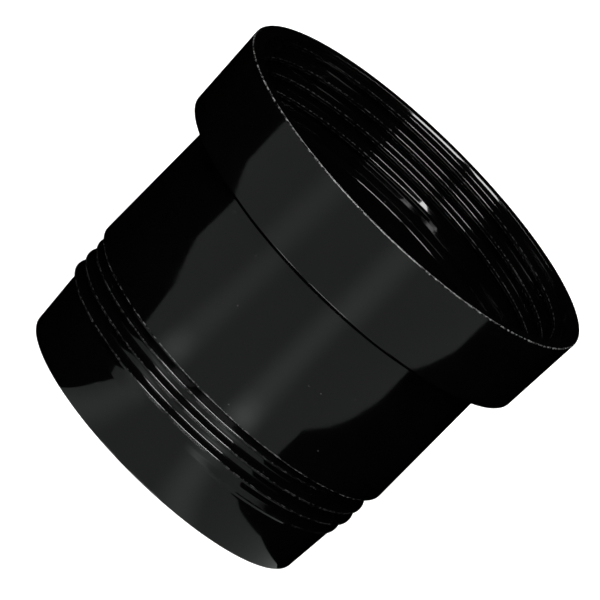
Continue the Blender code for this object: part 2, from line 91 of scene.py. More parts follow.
def lathe_tree():
    """Turns an outline round Z. Thread knots climb with the turn and stay between their two ends."""
    tree = bpy.data.node_groups.new("turned_and_threaded", "GeometryNodeTree")
    for name, kind in (("Outline", "Geometry"), ("Columns", "Int"), ("Weld distance", "Float"),
                       ("Finish", "Material")):
        tree.interface.new_socket(name, in_out="INPUT", socket_type="NodeSocket" + kind)
    tree.interface.new_socket("Body", in_out="OUTPUT", socket_type="NodeSocketGeometry")
    given = tree.nodes.new("NodeGroupInput").outputs
    rows = add_node(tree, "GeometryNodeAttributeDomainSize", given["Outline"]).outputs["Point Count"]
    columns = result(tree, "ADD", given["Columns"], 1.0)
    grid = add_node(tree, "GeometryNodeMeshGrid", 1.0, 1.0, columns, rows).outputs["Mesh"]
    on_grid = tree.nodes.new("GeometryNodeInputPosition").outputs[0]
    share = add_node(tree, "ShaderNodeSeparateXYZ", on_grid).outputs
    turned = result(tree, "ADD", share["X"], 0.5)
    along = result(tree, "ADD", share["Y"], 0.5)
    row = result(tree, "ROUND", result(tree, "MULTIPLY", along, result(tree, "SUBTRACT", rows, 1.0)))

    def of_row(field, kind):
        found = tree.nodes.new("GeometryNodeSampleIndex")
        found.data_type = kind
        tree.links.new(given["Outline"], found.inputs["Geometry"])
        tree.links.new(field, [s for s in found.inputs if s.name == "Value" and s.enabled][0])
        tree.links.new(row, found.inputs["Index"])
        return [s for s in found.outputs if s.enabled][0]

    def of_outline(name, kind):
        field = add_node(tree, "GeometryNodeInputNamedAttribute", name, data_type=kind)
        return of_row([s for s in field.outputs if s.enabled and s.name == "Attribute"][0], kind)

    def parts(vector):
        return add_node(tree, "ShaderNodeSeparateXYZ", vector).outputs

    position = tree.nodes.new("GeometryNodeInputPosition").outputs[0]
    radius, _, height = parts(of_row(position, "FLOAT_VECTOR"))
    lead, low, high = parts(of_outline("thread", "FLOAT_VECTOR"))
    ridge, middle, low_run = parts(of_outline("knot", "FLOAT_VECTOR"))
    below, above, high_run = parts(of_outline("feet", "FLOAT_VECTOR"))
    climb = result(tree, "MULTIPLY", lead, turned)
    raw = result(tree, "ADD", height, climb)
    centre = result(tree, "ADD", middle, climb)
    from_low = result(tree, "SUBTRACT", result(tree, "SUBTRACT", centre, below), low)
    to_high = result(tree, "SUBTRACT", result(tree, "SUBTRACT", high, centre), above)
    grown = result(tree, "MINIMUM", result(tree, "DIVIDE", from_low, low_run),
                   result(tree, "DIVIDE", to_high, high_run))
    rise = add_node(tree, "ShaderNodeClamp", grown, 0.0, 1.0).outputs[0]
    over_low = result(tree, "GREATER_THAN", raw, low)
    within = result(tree, "MULTIPLY", over_low, result(tree, "LESS_THAN", raw, high))
    present = result(tree, "MULTIPLY", rise, within)
    swell = result(tree, "MULTIPLY", ridge, present)
    reach = result(tree, "ADD", radius, swell)
    level = add_node(tree, "ShaderNodeClamp", raw, low, high).outputs[0]
    angle = result(tree, "MULTIPLY", turned, 2 * math.pi)
    across = result(tree, "MULTIPLY", reach, result(tree, "COSINE", angle))
    deep = result(tree, "MULTIPLY", reach, result(tree, "SINE", angle))
    spot = add_node(tree, "ShaderNodeCombineXYZ", across, deep, level).outputs[0]
    mark = result(tree, "MULTIPLY", of_outline("edge", "FLOAT"), present)
    marked = add_node(tree, "GeometryNodeStoreNamedAttribute", grid, None, "edge", mark,
                      data_type="FLOAT", domain="POINT").outputs[0]
    body = add_node(tree, "GeometryNodeSetPosition", marked, None, spot).outputs[0]
    welded = add_node(tree, "GeometryNodeMergeByDistance", body, None, given["Weld distance"]).outputs[0]
    real = add_node(tree, "GeometryNodeRealizeInstances", welded).outputs[0]
    done = add_node(tree, "GeometryNodeSetMaterial", real, None, given["Finish"]).outputs[0]
    out = tree.nodes.new("NodeGroupOutput")
    tree.links.new(done, out.inputs["Body"])
    return tree


LATHE = lathe_tree()


def break_corner(before, corner, after, size, steps):
    """Points of the small arc that breaks a corner, with 1 for its middle and 0 for its ends."""
    corner = Vector(corner)
    start = corner + (Vector(before) - corner).normalized() * size
    end = corner + (Vector(after) - corner).normalized() * size
    arc = []
    for i in range(steps + 1):
        u = i / steps
        arc.append(((1 - u) ** 2 * start + 2 * u * (1 - u) * corner + u ** 2 * end, math.sin(math.pi * u)))
    return arc


class Thread:
    """A right-handed ridge on a round wall, out where side is 1 and in where side is -1."""

    def __init__(self, wall, low, high, side, pitch, depth, crest, flank, phase, soft,
                 upper_flank=None, low_run=0.30 * MM, high_run=0.30 * MM):
        self.wall, self.low, self.high, self.side = wall, low, high, side
        self.pitch, self.phase = pitch, phase
        self.low_run, self.high_run = low_run, high_run
        self.below = crest / 2 + flank
        self.above = crest / 2 + (upper_flank or flank)
        corners = [(self.above - pitch, 0.0), (-self.below, 0.0), (-crest / 2, depth),
                   (crest / 2, depth), (self.above, 0.0), (pitch - self.below, 0.0)]
        self.knots = []
        for before, corner, after in zip(corners, corners[1:], corners[2:]):
            at_crest = corner[1] > 0
            for point, mark in break_corner(before, corner, after, soft, RIDGE_STEPS):
                self.knots.append((point[0], point[1], mark * at_crest * THREAD_WEAR))

    def rows(self):
        """Every knot's radius, height and attributes, from the lowest turn to the highest."""
        turns_below = math.floor((self.low - self.above - 2 * self.pitch - self.phase) / self.pitch)
        first = self.phase + self.pitch * turns_below
        turns = math.ceil((self.high + self.below + self.pitch - first) / self.pitch)
        made = []
        for turn in range(turns):
            middle = first + self.pitch * turn
            for offset, rise, mark in self.knots:
                made.append((self.wall, middle + offset, (self.pitch, self.low, self.high),
                             (self.side * rise, middle, self.low_run),
                             (self.below, self.above, self.high_run), mark))
        return made


def outline_rows(outline):
    """The rows of a closed outline of threads and corners (radius, height, broken edge, wear)."""
    corners = [at for at in outline if not isinstance(at, Thread)]
    made = []
    for i, at in enumerate(outline):
        if isinstance(at, Thread):
            rows = at.rows()
            climbing = outline[i - 1][1] < at.low + at.pitch / 2
            made += rows if climbing else rows[::-1]
            continue
        k = corners.index(at)
        before, after = corners[k - 1], corners[(k + 1) % len(corners)]
        if at[2] == 0:
            arc = [(Vector(at[:2]), 0.0)]
        else:
            arc = break_corner(before[:2], at[:2], after[:2], at[2], CORNER_STEPS)
        wear = at[3] if len(at) > 3 else 0.0
        for point, mark in arc:
            made.append((point[0], point[1], (0.0, -1.0, 1.0), (0.0, 0.0, 1.0), (0.0, 0.0, 1.0), mark * wear))
    return made + [made[0]]


def plain_mesh(shaped, name):
    """The finished mesh of an object with modifiers, which then leaves the scene."""
    view_layer = bpy.context.view_layer
    view_layer.update()
    ready = shaped.evaluated_get(bpy.context.evaluated_depsgraph_get())
    mesh = bpy.data.meshes.new_from_object(ready)
    mesh.name = name
    bpy.data.objects.remove(shaped)
    bm = bmesh.new()
    bm.from_mesh(mesh)
    bmesh.ops.recalc_face_normals(bm, faces=bm.faces)
    bm.to_mesh(mesh)
    bm.free()
    mesh.shade_smooth()
    mesh.set_sharp_from_angle(angle=SMOOTH_ANGLE)
    return mesh


def place(mesh, name):
    """A new object in the scene with this mesh."""
    made = bpy.data.objects.new(name, mesh)
    bpy.context.scene.collection.objects.link(made)
    return made


def turned_piece(name, outline, finish):
    """One turned body from its outline, as a plain mesh in place."""
    rows = outline_rows(outline)
    mesh = bpy.data.meshes.new(name + "_outline")
    edges = [(i, i + 1) for i in range(len(rows) - 1)]
    mesh.from_pydata([(row[0], 0.0, row[1]) for row in rows], edges, [])
    for label, kind, column in (("thread", "FLOAT_VECTOR", 2), ("knot", "FLOAT_VECTOR", 3),
                                ("feet", "FLOAT_VECTOR", 4), ("edge", "FLOAT", 5)):
        layer = mesh.attributes.new(label, kind, "POINT")
        flat = [row[column] for row in rows]
        if kind == "FLOAT_VECTOR":
            layer.data.foreach_set("vector", [n for vector in flat for n in vector])
        else:
            layer.data.foreach_set("value", flat)
    shaped = place(mesh, name + "_on_lathe")
    lathe = shaped.modifiers.new("lathe", "NODES")
    lathe.node_group = LATHE
    sockets = {s.name: s.identifier for s in LATHE.interface.items_tree if s.in_out == "INPUT"}
    for label, value in (("Columns", ROUND), ("Weld distance", WELD), ("Finish", finish)):
        lathe[sockets[label]] = value
    return place(plain_mesh(shaped, name), name)


def new_finish(name):
    """A new material with its node tree and its main shader."""
    finish = bpy.data.materials.new(name)
    finish.use_nodes = True
    return finish, finish.node_tree, finish.node_tree.nodes["Principled BSDF"]


def in_millimetres(tree):
    """Object coordinates counted in millimetres."""
    place_on = tree.nodes.new("ShaderNodeTexCoord").outputs["Object"]
    scale = (1 / MM, 1 / MM, 1 / MM)
    return add_node(tree, "ShaderNodeVectorMath", place_on, scale, operation="MULTIPLY").outputs[0]


def ramp(tree, factor, low, high, out_low=0.0, out_high=1.0):
    """Factor stretched from low..high to out_low..out_high, and held beyond them."""
    return add_node(tree, "ShaderNodeMapRange", factor, low, high, out_low, out_high).outputs[0]


def blend_colour(tree, factor, one, other):
    """One colour where factor is 0, the other where it is 1."""
    mix = tree.nodes.new("ShaderNodeMix")
    mix.data_type = "RGBA"
    for socket, value in ((mix.inputs[0], factor), (mix.inputs[6], one), (mix.inputs[7], other)):
        if isinstance(value, bpy.types.NodeSocket):
            tree.links.new(value, socket)
        else:
            socket.default_value = value
    return mix.outputs[2]


def set_relief(tree, shader, height, depth):
    """Bumps the surface by height times depth."""
    bump = add_node(tree, "ShaderNodeBump")
    bump.inputs["Strength"].default_value = 1.0
    bump.inputs["Distance"].default_value = depth
    tree.links.new(height, bump.inputs["Height"])
    tree.links.new(bump.outputs[0], shader.inputs["Normal"])


def gloss_plastic():
    """Glossy black plastic: slow ripples, faint smears, dust in the grain and scuffed edges."""
    finish, tree, shader = new_finish("black_gloss_plastic")
    at = in_millimetres(tree)
    smear = add_node(tree, "ShaderNodeTexNoise", at, SMEARS_PER_MM, 4.0, 0.6).outputs["Fac"]
    grain = add_node(tree, "ShaderNodeTexNoise", at, GRAINS_PER_MM, 3.0, 0.6).outputs["Fac"]
    ripple = add_node(tree, "ShaderNodeTexNoise", at, RIPPLES_PER_MM, 1.0, 0.5).outputs["Fac"]
    nick = add_node(tree, "ShaderNodeTexNoise", at, NICKS_PER_MM, 4.0, 0.7).outputs["Fac"]
    speck = add_node(tree, "ShaderNodeTexVoronoi", at, SPECKS_PER_MM, feature="F1").outputs["Distance"]
    edge = add_node(tree, "ShaderNodeAttribute", attribute_name="edge").outputs["Fac"]
    worn = result(tree, "MULTIPLY", edge, ramp(tree, nick, 0.48, 0.60))
    dusty = result(tree, "MULTIPLY", ramp(tree, speck, 0.05, 0.03), ramp(tree, nick, 0.50, 0.56))
    paler = tuple(1.4 * c for c in PLASTIC_DARK[:3]) + (1.0,)
    skin = blend_colour(tree, ramp(tree, smear, 0.35, 0.7), PLASTIC_DARK, paler)
    scuffed = blend_colour(tree, worn, skin, PLASTIC_WORN)
    dusted = blend_colour(tree, dusty, scuffed, DUST_COLOUR)
    tree.links.new(dusted, shader.inputs["Base Color"])
    dulled = result(tree, "MULTIPLY", worn, 0.3)
    rough = result(tree, "ADD", ramp(tree, smear, 0.3, 0.75, 0.06, 0.09), dulled)
    rough = result(tree, "ADD", rough, ramp(tree, grain, 0.4, 0.7, 0.0, 0.03))
    tree.links.new(rough, shader.inputs["Roughness"])
    swell = result(tree, "MULTIPLY", ripple, 0.7)
    relief = result(tree, "ADD", swell, result(tree, "MULTIPLY", grain, 0.04))
    scraped = result(tree, "MULTIPLY", worn, 0.3)
    set_relief(tree, shader, result(tree, "SUBTRACT", relief, scraped), PLASTIC_RELIEF)
    shader.inputs["IOR"].default_value = PLASTIC_IOR
    return finish


BLACK = gloss_plastic()

COLLAR_LOW, COLLAR_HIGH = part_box("collar")
BARREL_LOW, BARREL_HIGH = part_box("barrel")
COLLAR_BASE, MOUTH_HEIGHT = COLLAR_LOW.z, COLLAR_HIGH.z
MOUTH_RADIUS = COLLAR_HIGH.x  # outside, at the rim
FLANGE_RADIUS, FLANGE_TOP = BARREL_HIGH.x, BARREL_HIGH.z
FLANGE_THICKNESS = 0.50 * MM
FLANGE_WIDTH = 0.75 * MM
FLANGE_GAP = 0.04 * MM  # lets the flange past the mouth's thread
FLANGE_BASE = FLANGE_TOP - FLANGE_THICKNESS
BARREL_RADIUS = FLANGE_RADIUS - FLANGE_WIDTH
FIT_GAP = 0.05 * MM  # between pieces that are pressed, cemented or seated

MOUTH_THREAD = {"pitch": 1.55 * MM, "depth": 0.61 * MM, "crest": 0.30 * MM, "flank": 0.34 * MM,
                "soft": 0.06 * MM, "low_run": 0.10 * MM, "high_run": 0.15 * MM}
MOUTH_ROOT = FLANGE_RADIUS + FLANGE_GAP + MOUTH_THREAD["depth"]
MOUTH_CHAMFER = 0.10 * MM
MOUTH_LEAD_IN = 0.20 * MM  # height of the sloped lead-in under the rim
MOUTH_THREAD_START = 1.38 * MM  # from the rim down to the middle of a ridge, on the X axis
MOUTH_RELIEF = 0.52 * MM  # plain wall between the thread and the flange
COLLAR_BASE_WALL = 0.93 * MM
COLLAR_BASE_EDGE = 0.14 * MM
RIM_EDGE = 0.13 * MM
COLLAR_BASE_RADIUS = MOUTH_ROOT + COLLAR_BASE_WALL
COLLAR_HOLE = BARREL_RADIUS + FIT_GAP
COLLAR_FLOOR = FLANGE_BASE - FIT_GAP
MOUTH_THREAD_LOW = FLANGE_TOP + MOUTH_RELIEF
MOUTH_THREAD_HIGH = MOUTH_HEIGHT - MOUTH_LEAD_IN

collar = turned_piece("collar_ring", [
    (COLLAR_BASE_RADIUS, COLLAR_BASE, COLLAR_BASE_EDGE),
    (MOUTH_RADIUS, MOUTH_HEIGHT, RIM_EDGE, 1.0),
    (MOUTH_ROOT + MOUTH_CHAMFER, MOUTH_HEIGHT, CRISP_EDGE),
    (MOUTH_ROOT, MOUTH_THREAD_HIGH, 0),
    Thread(MOUTH_ROOT, MOUTH_THREAD_LOW, MOUTH_THREAD_HIGH, -1,
           phase=MOUTH_HEIGHT - MOUTH_THREAD_START, **MOUTH_THREAD),
    (MOUTH_ROOT, MOUTH_THREAD_LOW, 0),
    (MOUTH_ROOT, COLLAR_FLOOR, CRISP_EDGE),
    (COLLAR_HOLE, COLLAR_FLOOR, CRISP_EDGE),
    (COLLAR_HOLE, COLLAR_BASE, CRISP_EDGE),
], BLACK)
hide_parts("collar")
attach(collar, "tube")

# ---- barrel -------------------------------------------------------------------------------------
# The straight tube that carries everything: the same glossy plastic, turned inside for the glare
# stop and its snap ring, with a fine female thread below and, on top, the thin flange that the
# collar is cemented under.

BARREL_BASE = BARREL_LOW.z
BARREL_WALL = 1.30 * MM  # at the upper bore
BARREL_EDGE = 0.18 * MM
BORE_RADIUS = BARREL_RADIUS - BARREL_WALL
BORE_CHAMFER = 0.45 * MM
CEMENT_GROOVE = 0.42 * MM  # a small groove at the collar's foot that takes the spare cement
CEMENT_GROOVE_LIP = 0.10 * MM  # height of its upper slope
CEMENT_GROOVE_DROP = 0.30 * MM  # from the collar's lower edge down to it
GROOVE_LOW = COLLAR_BASE - CEMENT_GROOVE_DROP - CEMENT_GROOVE_LIP - CEMENT_GROOVE
JOINT_THREAD = {"pitch": 1.00 * MM, "depth": 0.45 * MM, "crest": 0.20 * MM, "flank": 0.20 * MM,
                "soft": FINE_EDGE}
JOINT_WALL = 1.65 * MM  # outside the nosepiece's thread
JOINT_FEMALE_ROOT = BARREL_RADIUS - JOINT_WALL
JOINT_FEMALE_CREST = JOINT_FEMALE_ROOT - JOINT_THREAD["depth"]
STOP_LOW, STOP_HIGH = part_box("glare_stop")
SNAP_LOW, SNAP_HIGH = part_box("snap_ring")
SNAP_GROOVE_DEPTH = 0.33 * MM
GROOVE_RADIUS = BORE_RADIUS + SNAP_GROOVE_DEPTH
JOINT_LEAD = 0.25 * MM  # plain bore below the thread
JOINT_HEIGHT = 3.84 * MM  # top of the thread above the barrel's lower end
JOINT_LOW = BARREL_BASE + JOINT_LEAD
JOINT_HIGH = BARREL_BASE + JOINT_HEIGHT
JOINT_PHASE = JOINT_THREAD["pitch"] / 2

barrel = turned_piece("barrel_tube", [
    (BARREL_RADIUS, BARREL_BASE, BARREL_EDGE, 0.6),
    (BARREL_RADIUS, GROOVE_LOW, CRISP_EDGE),
    (BARREL_RADIUS - CEMENT_GROOVE, GROOVE_LOW + CEMENT_GROOVE, CRISP_EDGE),
    (BARREL_RADIUS, GROOVE_LOW + CEMENT_GROOVE + CEMENT_GROOVE_LIP, CRISP_EDGE),
    (BARREL_RADIUS, FLANGE_BASE, CRISP_EDGE),
    (FLANGE_RADIUS, FLANGE_BASE, CRISP_EDGE),
    (FLANGE_RADIUS, FLANGE_TOP, SOFT_EDGE),
    (BORE_RADIUS + BORE_CHAMFER, FLANGE_TOP, SOFT_EDGE),
    (BORE_RADIUS, FLANGE_TOP - BORE_CHAMFER, SOFT_EDGE),
    (BORE_RADIUS, SNAP_HIGH.z + FIT_GAP, FINE_EDGE),
    (GROOVE_RADIUS, SNAP_HIGH.z + FIT_GAP, CRISP_EDGE),
    (GROOVE_RADIUS, SNAP_LOW.z - FIT_GAP, CRISP_EDGE),
    (BORE_RADIUS, SNAP_LOW.z - FIT_GAP, FINE_EDGE),
    (BORE_RADIUS, STOP_LOW.z - FIT_GAP, CRISP_EDGE),
    (JOINT_FEMALE_CREST, STOP_LOW.z - FIT_GAP, SOFT_EDGE),
    (JOINT_FEMALE_CREST, JOINT_HIGH + JOINT_THREAD["depth"], CRISP_EDGE),
    (JOINT_FEMALE_ROOT, JOINT_HIGH, 0),
    Thread(JOINT_FEMALE_ROOT, JOINT_LOW, JOINT_HIGH, -1, phase=JOINT_PHASE, **JOINT_THREAD),
    (JOINT_FEMALE_ROOT, JOINT_LOW, 0),
    (JOINT_FEMALE_ROOT, BARREL_BASE, FINE_EDGE),
], BLACK)
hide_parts("barrel")
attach(barrel, "tube")

# ---- nosepiece ----------------------------------------------------------------------------------
# The tapered nose: the same plastic. Outside it carries the coarse mounting thread, above that a
# spigot screwed into the barrel, and inside it the lens seat and a fine thread for filters.

NOSE_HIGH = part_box("nosepiece")[1]
SPIGOT_TOP = NOSE_HIGH.z
MOUNT_THREAD = {"pitch": 1.40 * MM, "depth": 0.52 * MM, "crest": 0.14 * MM, "flank": 0.20 * MM,
                "upper_flank": 0.55 * MM, "soft": SOFT_EDGE,
                "low_run": 0.80 * MM, "high_run": 0.12 * MM}
MOUNT_ZONE = 5.38 * MM  # threaded stretch below the barrel
MOUNT_THREAD_START = 2.02 * MM  # from its lower end to the middle of a ridge, on the X axis
NOSE_TAPER = 0.39 * MM  # how much the radius falls to the tip
NOSE_EDGE = 0.16 * MM
NOSE_SHOULDER = 0.08 * MM  # a short ring, almost at full radius, between the taper and the thread
MOUNT_ROOT = NOSE_HIGH.x - MOUNT_THREAD["depth"]
NOSE_TIP_RADIUS = MOUNT_ROOT - NOSE_TAPER
MOUNT_TOP = BARREL_BASE - FIT_GAP
MOUNT_LOW = BARREL_BASE - MOUNT_ZONE
MOUNT_PHASE = MOUNT_LOW + MOUNT_THREAD_START
THREAD_GAP = 0.10 * MM
JOINT_MALE_ROOT = JOINT_FEMALE_CREST - THREAD_GAP
SPIGOT_LEAD = 0.50 * MM  # plain foot of the spigot
SPIGOT_LOW = BARREL_BASE + SPIGOT_LEAD
SPIGOT_CHAMFER = 0.20 * MM
RETAINER_THREAD = {"pitch": 1.00 * MM, "depth": 0.40 * MM, "crest": 0.20 * MM, "flank": 0.18 * MM,
                   "soft": FINE_EDGE}
RETAINER_LOW, RETAINER_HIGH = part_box("retaining_ring")
SPIGOT_WALL = 0.85 * MM  # between the joint thread and the retaining ring's thread
RETAINER_FEMALE_ROOT = JOINT_MALE_ROOT - SPIGOT_WALL
RETAINER_THREAD_LOW = RETAINER_LOW.z - RETAINER_THREAD["pitch"]
RETAINER_THREAD_HIGH = RETAINER_HIGH.z + RETAINER_THREAD["pitch"] / 2
LENS_LOW, LENS_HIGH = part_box("crown_lens")
LENS_SEAT = LENS_LOW.z - FIT_GAP
LENS_BORE = LENS_HIGH.x + FIT_GAP
SEAT_WIDTH = 1.00 * MM  # how much of the lens's rim the web covers
WEB_THICKNESS = 0.90 * MM
WEB_EDGE = 0.06 * MM
APERTURE = LENS_HIGH.x - SEAT_WIDTH
WEB_BASE = LENS_SEAT - WEB_THICKNESS
FILTER_THREAD = {"pitch": 0.60 * MM, "depth": 0.32 * MM, "crest": 0.08 * MM, "flank": 0.17 * MM,
                 "soft": 0.025 * MM}
NOSE_WALL = 1.12 * MM  # outside the filter thread
FILTER_THREAD_LENGTH = 3.00 * MM
FILTER_ROOT = NOSE_TIP_RADIUS - NOSE_WALL
FILTER_LOW = 0.20 * MM
FILTER_HIGH = FILTER_LOW + FILTER_THREAD_LENGTH

nose = turned_piece("nosepiece_body", [
    (NOSE_TIP_RADIUS, 0.0, NOSE_EDGE),
    (MOUNT_ROOT - NOSE_SHOULDER / 16, MOUNT_LOW - NOSE_SHOULDER, 0),
    (MOUNT_ROOT, MOUNT_LOW, 0),
    Thread(MOUNT_ROOT, MOUNT_LOW, MOUNT_TOP, 1, phase=MOUNT_PHASE, **MOUNT_THREAD),
    (MOUNT_ROOT, MOUNT_TOP, 0),
    (JOINT_MALE_ROOT, MOUNT_TOP, 0),
    (JOINT_MALE_ROOT, SPIGOT_LOW, 0),
    Thread(JOINT_MALE_ROOT, SPIGOT_LOW, SPIGOT_TOP - SPIGOT_CHAMFER, 1, phase=0.0, **JOINT_THREAD),
    (JOINT_MALE_ROOT, SPIGOT_TOP - SPIGOT_CHAMFER, 0),
    (JOINT_MALE_ROOT - SPIGOT_CHAMFER, SPIGOT_TOP, CRISP_EDGE),
    (RETAINER_FEMALE_ROOT, SPIGOT_TOP, FINE_EDGE),
    (RETAINER_FEMALE_ROOT, RETAINER_THREAD_HIGH, 0),
    Thread(RETAINER_FEMALE_ROOT, RETAINER_THREAD_LOW, RETAINER_THREAD_HIGH, -1,
           phase=RETAINER_THREAD["pitch"] / 2, **RETAINER_THREAD),
    (RETAINER_FEMALE_ROOT, RETAINER_THREAD_LOW, 0),
    (LENS_BORE, RETAINER_THREAD_LOW - (RETAINER_FEMALE_ROOT - LENS_BORE), 0),
    (LENS_BORE, LENS_SEAT, CRISP_EDGE),
    (APERTURE, LENS_SEAT, WEB_EDGE),
    (APERTURE, WEB_BASE, WEB_EDGE),
    (FILTER_ROOT, WEB_BASE, CRISP_EDGE),
    (FILTER_ROOT, FILTER_HIGH, 0),
    Thread(FILTER_ROOT, FILTER_LOW, FILTER_HIGH, -1, phase=0.0, **FILTER_THREAD),
    (FILTER_ROOT, FILTER_LOW, 0),
    (FILTER_ROOT + FILTER_LOW, 0.0, CRISP_EDGE),
], BLACK)
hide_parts("nosepiece")
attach(nose, "nose")

# ---- crown lens ---------------------------------------------------------------------------------
# The lower lens, thin and hollow on both faces: polished crown glass with a green antireflection
# coating and a ground edge. It lies loose on the nosepiece's web.

CROWN_LOWER_CURVE = 120.0 * MM
CROWN_UPPER_CURVE = 48.0 * MM
CROWN_INDEX = 1.52
CROWN_TINT = (0.97, 0.99, 0.98, 1)
GREEN_COATING = (0.35, 0.80, 0.55, 1)
FILM_PER_MM = 0.12
DUST_PER_MM = 0.8
FACE_STEPS = 24


def face_points(curve, rim, radius, bulge):
    """Points of a spherical face from the axis to the rim; bulge 1 raises its middle, -1 sinks it."""
    drop = curve - math.sqrt(curve ** 2 - radius ** 2)
    points = []
    for i in range(FACE_STEPS + 1):
        r = radius * i / FACE_STEPS
        here = curve - math.sqrt(curve ** 2 - r ** 2)
        points.append((r, rim + bulge * (drop - here), 0))
    return points


def coated_glass(name, tint, sheen, ior):
    """Clear glass with a faint coloured coating and a few specks of dust."""
    finish, tree, shader = new_finish(name)
    at = in_millimetres(tree)
    film = add_node(tree, "ShaderNodeTexNoise", at, FILM_PER_MM, 2.0, 0.5).outputs["Fac"]
    speck = add_node(tree, "ShaderNodeTexVoronoi", at, DUST_PER_MM, feature="F1").outputs["Distance"]
    dusted = blend_colour(tree, ramp(tree, speck, 0.05, 0.03), tint, DUST_COLOUR)
    tree.links.new(dusted, shader.inputs["Base Color"])
    tree.links.new(ramp(tree, film, 0.3, 0.7, 0.015, 0.05), shader.inputs["Roughness"])
    shader.inputs["Transmission Weight"].default_value = 1.0
    shader.inputs["Specular Tint"].default_value = sheen
    shader.inputs["IOR"].default_value = ior
    return finish


LENS_RADIUS = LENS_HIGH.x
crown = turned_piece("crown_lens_glass",
                     face_points(CROWN_LOWER_CURVE, LENS_LOW.z, LENS_RADIUS, 1)
                     + face_points(CROWN_UPPER_CURVE, LENS_HIGH.z, LENS_RADIUS, -1)[::-1],
                     coated_glass("crown_glass", CROWN_TINT, GREEN_COATING, CROWN_INDEX))
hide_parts("crown_lens")
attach(crown, "lenses")

# ---- lens spacer --------------------------------------------------------------------------------
# A thin ring stamped from matt black plastic that keeps the two lenses apart at their rims. Only
# the pressure of the retaining ring holds it.

CLOUDS_PER_MM = 0.35


def matt_surface(name, colour, rough, grain_size, depth, metal=0.0):
    """A dull dark surface with fine grain and uneven sheen."""
    finish, tree, shader = new_finish(name)
    at = in_millimetres(tree)
    grain = add_node(tree, "ShaderNodeTexNoise", at, 1 / grain_size, 3.0, 0.6).outputs["Fac"]
    cloud = add_node(tree, "ShaderNodeTexNoise", at, CLOUDS_PER_MM, 3.0, 0.5).outputs["Fac"]
    paler = tuple(1.6 * c for c in colour[:3]) + (1.0,)
    skin = blend_colour(tree, ramp(tree, cloud, 0.35, 0.7), colour, paler)
    tree.links.new(skin, shader.inputs["Base Color"])
    tree.links.new(ramp(tree, grain, 0.3, 0.7, rough - 0.08, rough + 0.08), shader.inputs["Roughness"])
    shader.inputs["Metallic"].default_value = metal
    shader.inputs["Specular IOR Level"].default_value = 0.25
    set_relief(tree, shader, grain, depth)
    return finish


MATT_BLACK = matt_surface("matt_black_plastic", (0.0016, 0.0016, 0.0016, 1),
                          rough=0.75, grain_size=0.12, depth=0.006 * MM)


def flat_ring(inner, outer, low, high, broken):
    """The outline of a ring with a rectangular section."""
    return [(inner, low, broken), (outer, low, broken), (outer, high, broken), (inner, high, broken)]


SPACER_LOW, SPACER_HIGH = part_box("lens_spacer")
SPACER_WIDTH = 0.80 * MM
spacer = turned_piece("lens_spacer_ring", flat_ring(
    SPACER_HIGH.x - SPACER_WIDTH, SPACER_HIGH.x, SPACER_LOW.z, SPACER_HIGH.z, FINE_EDGE), MATT_BLACK)
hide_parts("lens_spacer")
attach(spacer, "lenses")

# ---- flint lens ---------------------------------------------------------------------------------
# The upper lens: a thick meniscus of denser flint glass, round side down, with the same coating in
# a bluer shade. It rests on the spacer.

FLINT_LOW, FLINT_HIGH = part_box("flint_lens")
FLINT_LOWER_CURVE = 50.0 * MM
FLINT_UPPER_CURVE = 110.0 * MM
FLINT_INDEX = 1.62
FLINT_TINT = (0.97, 0.98, 1.0, 1)
BLUE_COATING = (0.30, 0.55, 0.90, 1)
FLINT_RIM = FLINT_LOW.z + FLINT_LOWER_CURVE - math.sqrt(FLINT_LOWER_CURVE ** 2 - LENS_RADIUS ** 2)

flint = turned_piece("flint_lens_glass",
                     face_points(FLINT_LOWER_CURVE, FLINT_RIM, LENS_RADIUS, -1)
                     + face_points(FLINT_UPPER_CURVE, FLINT_HIGH.z, LENS_RADIUS, -1)[::-1],
                     coated_glass("flint_glass", FLINT_TINT, BLUE_COATING, FLINT_INDEX))
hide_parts("flint_lens")
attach(flint, "lenses")

# ---- cushion ring -------------------------------------------------------------------------------
# A soft round ring moulded from black rubber. It lies on the flint's rim under the retaining ring
# and takes up the play.

CUSHION_LOW, CUSHION_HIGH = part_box("cushion_ring")
CUSHION_HALF = (CUSHION_HIGH.z - CUSHION_LOW.z) / 2
CUSHION_MIDDLE = CUSHION_HIGH.x - CUSHION_HALF
BEAD_STEPS = 24
bead = []
for i in range(BEAD_STEPS):
    angle = 2 * math.pi * i / BEAD_STEPS
    bead.append((CUSHION_MIDDLE + CUSHION_HALF * math.cos(angle),
                 CUSHION_LOW.z + CUSHION_HALF * (1 + math.sin(angle)), 0))
cushion = turned_piece("cushion_rubber", bead,
                       matt_surface("black_rubber", (0.008, 0.008, 0.008, 1),
                                    rough=0.78, grain_size=0.09, depth=0.015 * MM))
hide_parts("cushion_ring")
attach(cushion, "cushion")

# ---- retaining ring -----------------------------------------------------------------------------
# A black anodised aluminium ring turned with a fine male thread, with two milled slots across its
# top for a pin spanner. It screws down on the cushion.

RETAINER_MALE_ROOT = RETAINER_HIGH.x - RETAINER_THREAD["depth"]
RETAINER_WIDTH = 1.20 * MM
RETAINER_CHAMFER = 0.20 * MM
SLOT_WIDTH = 1.60 * MM
SLOT_DEPTH = 0.80 * MM


def box_mesh(low, high):
    """A closed box between two corners."""
    bm = bmesh.new()
    made = bmesh.ops.create_cube(bm, size=1.0)["verts"]
    bmesh.ops.translate(bm, verts=made, vec=(0.5, 0.5, 0.5))
    bmesh.ops.scale(bm, verts=made, vec=Vector(high) - Vector(low))
    bmesh.ops.translate(bm, verts=made, vec=low)
    mesh = bpy.data.meshes.new("cutter")
    bm.to_mesh(mesh)
    bm.free()
    return mesh


